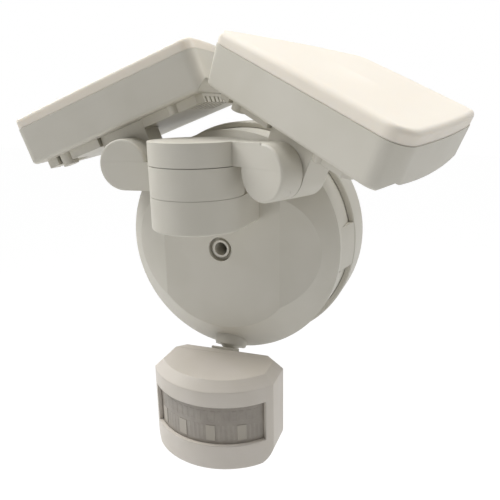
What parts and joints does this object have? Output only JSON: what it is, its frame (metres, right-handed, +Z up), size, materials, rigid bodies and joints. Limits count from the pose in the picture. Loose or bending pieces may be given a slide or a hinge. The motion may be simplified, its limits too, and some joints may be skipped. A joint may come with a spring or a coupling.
{
  "type": "motion sensor security light",
  "caption": "Wall-mounted security light: faceted round cover, twin tilting lamps on turning arms and a motion sensor on a ball joint.",
  "frame": {"origin": "centre of the wall plate, on the wall plane, between the two wall box screws", "axes": "+Z up, +Y into the wall, -Y towards the viewer, +X to the viewer's right; the right-hand lamp is on the +X side"},
  "size_m": [0.228, 0.1198, 0.2196],
  "materials": {
    "body_white": "fine moulded texture, warm white",
    "lamp_white": "fine moulded texture, warm white",
    "sink_white": "powder coat on cast metal, warm white",
    "sensor_white": "fine moulded texture, slightly aged white",
    "lens_frosted": "frosted translucent white",
    "fresnel_smoke": "translucent smoke with fine lens segments",
    "gasket": "closed-cell, matt",
    "zinc_steel": "zinc plated",
    "screw_steel": "zinc plated",
    "earth_green": "green",
    "board_green": "solder mask",
    "parts_dark": "satin",
    "case_grey": "satin",
    "terminal_nylon": "satin",
    "bush_nylon": "satin",
    "pir_can": "pressed",
    "dial_grey": "satin",
    "led_plate": "white solder mask",
    "led_phosphor": "phosphor yellow"
  },
  "bodies": {
    "housing": {"wall_plate": "body_white", "wall_gasket": "gasket", "mounting_bar": "zinc_steel", "earth_screw": "earth_green", "cover": "body_white", "cover_seal": "gasket", "cover_bolt": "screw_steel", "side_clip_left": "body_white", "side_clip_right": "body_white", "driver_board": "board_green", "driver_parts": "parts_dark", "driver_case": "case_grey", "board_screws": "screw_steel", "terminal_block": "terminal_nylon", "pivot_bolt": "screw_steel", "pivot_washer": "screw_steel", "pivot_nut": "screw_steel", "socket_retainer": "case_grey", "retainer_screws": "screw_steel"},
    "left_arm": {"left_arm_lower": "body_white", "left_arm_upper": "body_white", "left_arm_screws": "screw_steel", "left_tilt_bolt": "screw_steel", "left_tilt_washer": "screw_steel", "left_tilt_nut": "screw_steel"},
    "left_lamp": {"left_lamp_bracket": "body_white", "left_bracket_cap": "body_white", "left_bracket_screws": "screw_steel", "left_lamp_tray": "lamp_white", "left_heat_sink": "sink_white", "left_led_board": "led_plate", "left_leds": "led_phosphor", "left_lens": "lens_frosted", "left_lens_gasket": "gasket"},
    "right_arm": {"right_arm_lower": "body_white", "right_arm_upper": "body_white", "right_arm_screws": "screw_steel", "right_tilt_bolt": "screw_steel", "right_tilt_washer": "screw_steel", "right_tilt_nut": "screw_steel"},
    "right_lamp": {"right_lamp_bracket": "body_white", "right_bracket_cap": "body_white", "right_bracket_screws": "screw_steel", "right_lamp_tray": "lamp_white", "right_heat_sink": "sink_white", "right_led_board": "led_plate", "right_leds": "led_phosphor", "right_lens": "lens_frosted", "right_lens_gasket": "gasket"},
    "swivel": {"swivel_bush": "bush_nylon"},
    "sensor": {"sensor_swivel": "body_white", "sensor_front": "sensor_white", "sensor_back": "sensor_white", "fresnel_lens": "fresnel_smoke", "sensor_board": "board_green", "pir_element": "pir_can", "sensor_screws": "screw_steel"},
    "time_dial": {"time_dial": "dial_grey"},
    "range_dial": {"range_dial": "dial_grey"}
  },
  "joints": [
    {"name": "left_arm_turn", "type": "hinge", "parent": "housing", "child": "left_arm", "pos_m": [0, -0.084, 0.0413], "axis": [0, 0, 1], "range_deg": [0, 60]},
    {"name": "left_lamp_tilt", "type": "hinge", "parent": "left_arm", "child": "left_lamp", "pos_m": [-0.04078, -0.08821, 0.0469], "axis": [0.1028, -0.9947, 0], "range_deg": [-1, 60]},
    {"name": "right_arm_turn", "type": "hinge", "parent": "housing", "child": "right_arm", "pos_m": [0, -0.084, 0.0542], "axis": [0, 0, -1], "range_deg": [-3, 50]},
    {"name": "right_lamp_tilt", "type": "hinge", "parent": "right_arm", "child": "right_lamp", "pos_m": [0.0371, -0.10146, 0.0469], "axis": [0.4258, 0.9048, 0], "range_deg": [-1, 60]},
    {"name": "sensor_pan", "type": "hinge", "parent": "housing", "child": "swivel", "pos_m": [0, -0.0479, -0.0577], "axis": [0, 0, 1], "range_deg": [-30, 30]},
    {"name": "sensor_tilt", "type": "hinge", "parent": "swivel", "child": "sensor", "pos_m": [0, -0.0479, -0.0577], "axis": [1, 0, 0], "range_deg": [-12, 25]},
    {"name": "time_dial_turn", "type": "hinge", "parent": "sensor", "child": "time_dial", "pos_m": [-0.01087, -0.0804, -0.1101], "axis": [0, 0, 1], "range_deg": [-135, 135]},
    {"name": "range_dial_turn", "type": "hinge", "parent": "sensor", "child": "range_dial", "pos_m": [0.01511, -0.07949, -0.1101], "axis": [0, 0, 1], "range_deg": [-135, 135]}
  ]
}
